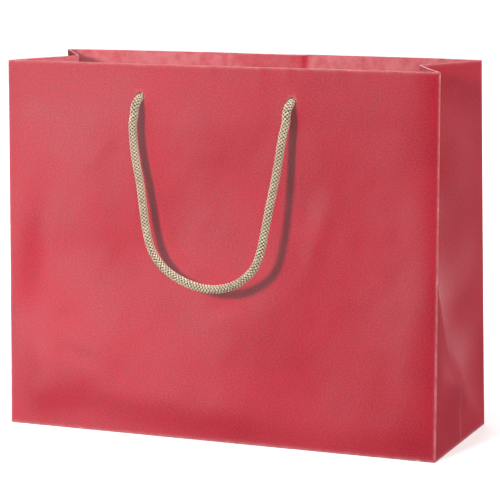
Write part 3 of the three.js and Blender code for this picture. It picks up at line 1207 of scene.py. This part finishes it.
def knot_line(x):
    """An overhand knot behind the hole at x in the front wall, with its tail."""
    middle = np.array([x, INSIDE_Y + 6.2 * MM, HOLE_HEIGHT])
    line = [(x, INSIDE_Y + 0.2 * MM, HOLE_HEIGHT)]
    for angle in np.linspace(KNOT_START, KNOT_START + 2 * math.pi * KNOT_TURNS, 40):
        across = KNOT_SIZE * (math.sin(angle) + 2 * math.sin(2 * angle))
        rise = KNOT_SIZE * (math.cos(angle) - 2 * math.cos(2 * angle))
        line.append(tuple(middle + (across, -KNOT_LIFT * math.sin(3 * angle), rise)))
    last = np.array(line[-1])
    for reach, drop in TAIL_ROUTE:
        line.append(tuple(last + (0, reach, -drop)))
    return smooth_line(line, LINE_STEP)


FILAMENTS = 70
FILAMENT_RADIUS = 0.16 * MM
TUFT_RADIUS = 2.2 * MM


def fray(name, tip, direction, seed):
    """The loose filaments at a tail's cut end."""
    chance = np.random.default_rng(seed)
    down = Vector(direction).normalized()
    side = down.orthogonal().normalized()
    other = down.cross(side)

    def round_about(angle):
        return side * math.cos(angle) + other * math.sin(angle)

    work = bmesh.new()
    for _ in range(FILAMENTS):
        angle, spread, reach, lean = chance.uniform(0, 1, 4)
        radial = round_about(angle * 2 * math.pi)
        root = Vector(tip) + radial * (spread * TUFT_RADIUS) - down * MM
        bend = radial * (0.0006 + 0.0022 * lean)
        length = 0.0025 + 0.003 * reach
        rings = []
        for share in (0, 0.4, 0.75, 1.0):
            centre = root + down * (length * share) + bend * share**2
            width = FILAMENT_RADIUS * (1 - 0.7 * share)
            rings.append([work.verts.new(centre + round_about(turn) * width) for turn in (0, 2.1, 4.2)])
        for lower, upper in zip(rings, rings[1:]):
            for k in range(3):
                work.faces.new((lower[k], lower[(k + 1) % 3], upper[(k + 1) % 3], upper[k]))
        work.faces.new(rings[0][::-1])
        work.faces.new(rings[-1])
    bmesh.ops.recalc_face_normals(work, faces=work.faces)
    mesh = mesh_from(work, name)
    mesh.materials.append(braided_yarn())
    heights = vertex_positions(mesh)[:, 2]
    for label, value in (("rise", 0.8), ("across", 0.0), ("crown", 1.0)):
        set_attribute(mesh, label, np.full(len(heights), value))
    set_attribute(mesh, "along", heights)
    mesh.shade_smooth()
    return add_object(name, mesh)


def build_knot(side, sign):
    """The overhand knot and frayed tail behind one hole."""
    line = knot_line(sign * HOLE_X)
    knot = braid_along(f"front_{side}_overhand_knot", line, CORD_RADIUS * KNOT_SCALE)
    tuft = fray(f"front_{side}_frayed_tail", line[-1], line[-1] - line[-3], 7 + sign)
    for piece in (knot, tuft):
        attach(piece, "bag")
    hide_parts(f"front_knot_{side}")
    return [knot, tuft]


class GIFTBAG_OT_handles(bpy.types.Operator):
    """Builds the braided handle with its stopper knots and frayed tails"""

    bl_idname = "giftbag.handles"
    bl_label = "Cord Handles"

    def execute(self, context):
        knots = [piece for side, sign in (("left", -1), ("right", 1)) for piece in build_knot(side, sign)]
        line = handle_line()
        handle = braid_along("front_handle_braid", line)
        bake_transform(handle)
        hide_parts("front_handle_loop", "front_cord_end_left", "front_cord_end_right")
        [tuple(point) for point in line]
        return {"FINISHED"}


# ---- stage


# The lights: name, azimuth, elevation, distance and size, then each one's share of the key power.
# Degrees run from straight in front towards +X.
LIGHTS = (
    ("key", -7, 18, 1.7, 0.2, 0.235),
    ("left_sheen", -33, -5, 1.7, 0.5, 0.4),
    ("hem_sheen", -22, 15, 1.7, 0.35, 0.3),
    ("right_fill", 75, 20, 1.8, 0.9, 1.0),
    ("rear_fill", 205, 25, 2.2, 1.2, 1.2),
    ("right_sheen", 130, 12, 1.7, 1.0, 0.8),
    ("overhead", -20, 78, 1.9, 1.2, 1.25),
)
LIGHT_TARGET = (0, 0, 0.13)
KEY_TARGET = (-0.2, 0, 0.02)
KEY_SPREAD = math.radians(65)
GLOSS_ONLY = ("left_sheen", "hem_sheen")
FLOOR_RADIUS = 9


def direction(azimuth, elevation):
    """Towards a place round the bag: azimuth from straight in front towards +X, both in radians."""
    level = math.cos(elevation)
    return Vector((math.sin(azimuth) * level, -math.cos(azimuth) * level, math.sin(elevation)))


def area_light(name, azimuth, elevation, distance, size, power):
    """A square soft light round the bag."""
    data = bpy.data.lights.new(name, "AREA")
    data.shape = "SQUARE"
    data.size = size
    data.energy = power
    light = add_object(name, data)
    back = direction(math.radians(azimuth), math.radians(elevation))
    light.location = Vector((0, 0, HEIGHT / 2)) + back * distance
    target = LIGHT_TARGET
    if name == "key":
        target = KEY_TARGET
        data.spread = KEY_SPREAD
        light.visible_glossy = False
    if name in GLOSS_ONLY:
        light.visible_diffuse = False
        data.use_shadow = False
    light.rotation_euler = (Vector(target) - light.location).to_track_quat("-Z", "Y").to_euler()


class GIFTBAG_OT_stage(bpy.types.Operator):
    """Builds the camera, the soft studio lights and the pale floor"""

    bl_idname = "giftbag.stage"
    bl_label = "Stage"

    def execute(self, context):
        settings = stage()
        scene = context.scene
        scene.camera = self.build_camera(settings)
        self.build_floor()
        for *light, share in LIGHTS:
            area_light(*light, settings.key_power * share)
        scene.world = self.build_world(settings.fill_strength)
        scene.view_settings.view_transform = "Standard"
        return {"FINISHED"}

    def build_camera(self, settings):
        data = bpy.data.cameras.new("camera")
        data.lens = settings.lens
        data.sensor_width = 36
        data.clip_start = 0.05
        camera = add_object("camera", data)
        back = direction(settings.azimuth, settings.elevation)
        camera.location = Vector(settings.target) + back * settings.distance
        level = (-back).to_track_quat("-Z", "Y").to_matrix()
        camera.rotation_euler = (level @ Matrix.Rotation(settings.roll, 3, "Z")).to_euler()
        return camera

    def build_world(self, strength):
        """Even light from all round, and plain white where the camera sees past the floor."""
        world = bpy.data.worlds.new("studio")
        world.use_nodes = True
        tree = world.node_tree
        seen = add_node(tree, "ShaderNodeLightPath").outputs["Is Camera Ray"]
        lit = arithmetic(tree, "MULTIPLY_ADD", seen, 1 - strength, strength)
        set_node(tree, tree.nodes["Background"], Color=(1, 1, 1, 1), Strength=lit)
        return world

    def build_floor(self):
        """A wide round floor, which takes shadows and throws no light back at the bag."""
        work = bmesh.new()
        bmesh.ops.create_circle(work, cap_ends=True, segments=64, radius=FLOOR_RADIUS)
        mesh = mesh_from(work, "floor")
        mesh.materials.append(pale_floor())
        floor = add_object("floor", mesh)
        floor.visible_diffuse = False
        floor.visible_glossy = False


OPERATORS = (
    GIFTBAG_OT_stage,
    GIFTBAG_OT_handles,
    GIFTBAG_OT_paper_sheet,
    GIFTBAG_OT_mouth_cards,
    GIFTBAG_OT_bottom,
)


class GIFTBAG_PT_panel(bpy.types.Panel):
    """Lists the bag's pieces and its settings"""

    bl_idname = "GIFTBAG_PT_panel"
    bl_label = "Gift Bag"
    bl_space_type = "VIEW_3D"
    bl_region_type = "UI"
    bl_category = "Gift Bag"

    def draw(self, context):
        for name, settings in SETTINGS.items():
            box = self.layout.box()
            for key in settings.__annotations__:
                box.prop(getattr(context.scene, name), key)
        for operator in OPERATORS:
            self.layout.operator(operator.bl_idname)


def register():
    for cls in (*SETTINGS.values(), *OPERATORS, GIFTBAG_PT_panel):
        bpy.utils.register_class(cls)
    for name, settings in SETTINGS.items():
        setattr(bpy.types.Scene, name, bpy.props.PointerProperty(type=settings))


def unregister():
    for name in SETTINGS:
        delattr(bpy.types.Scene, name)
    for cls in (GIFTBAG_PT_panel, *reversed(OPERATORS), *reversed(list(SETTINGS.values()))):
        bpy.utils.unregister_class(cls)


def main():
    register()
    for operator in OPERATORS:
        group, name = operator.bl_idname.split(".")
        getattr(getattr(bpy.ops, group), name)()


if __name__ == "__main__":
    main()
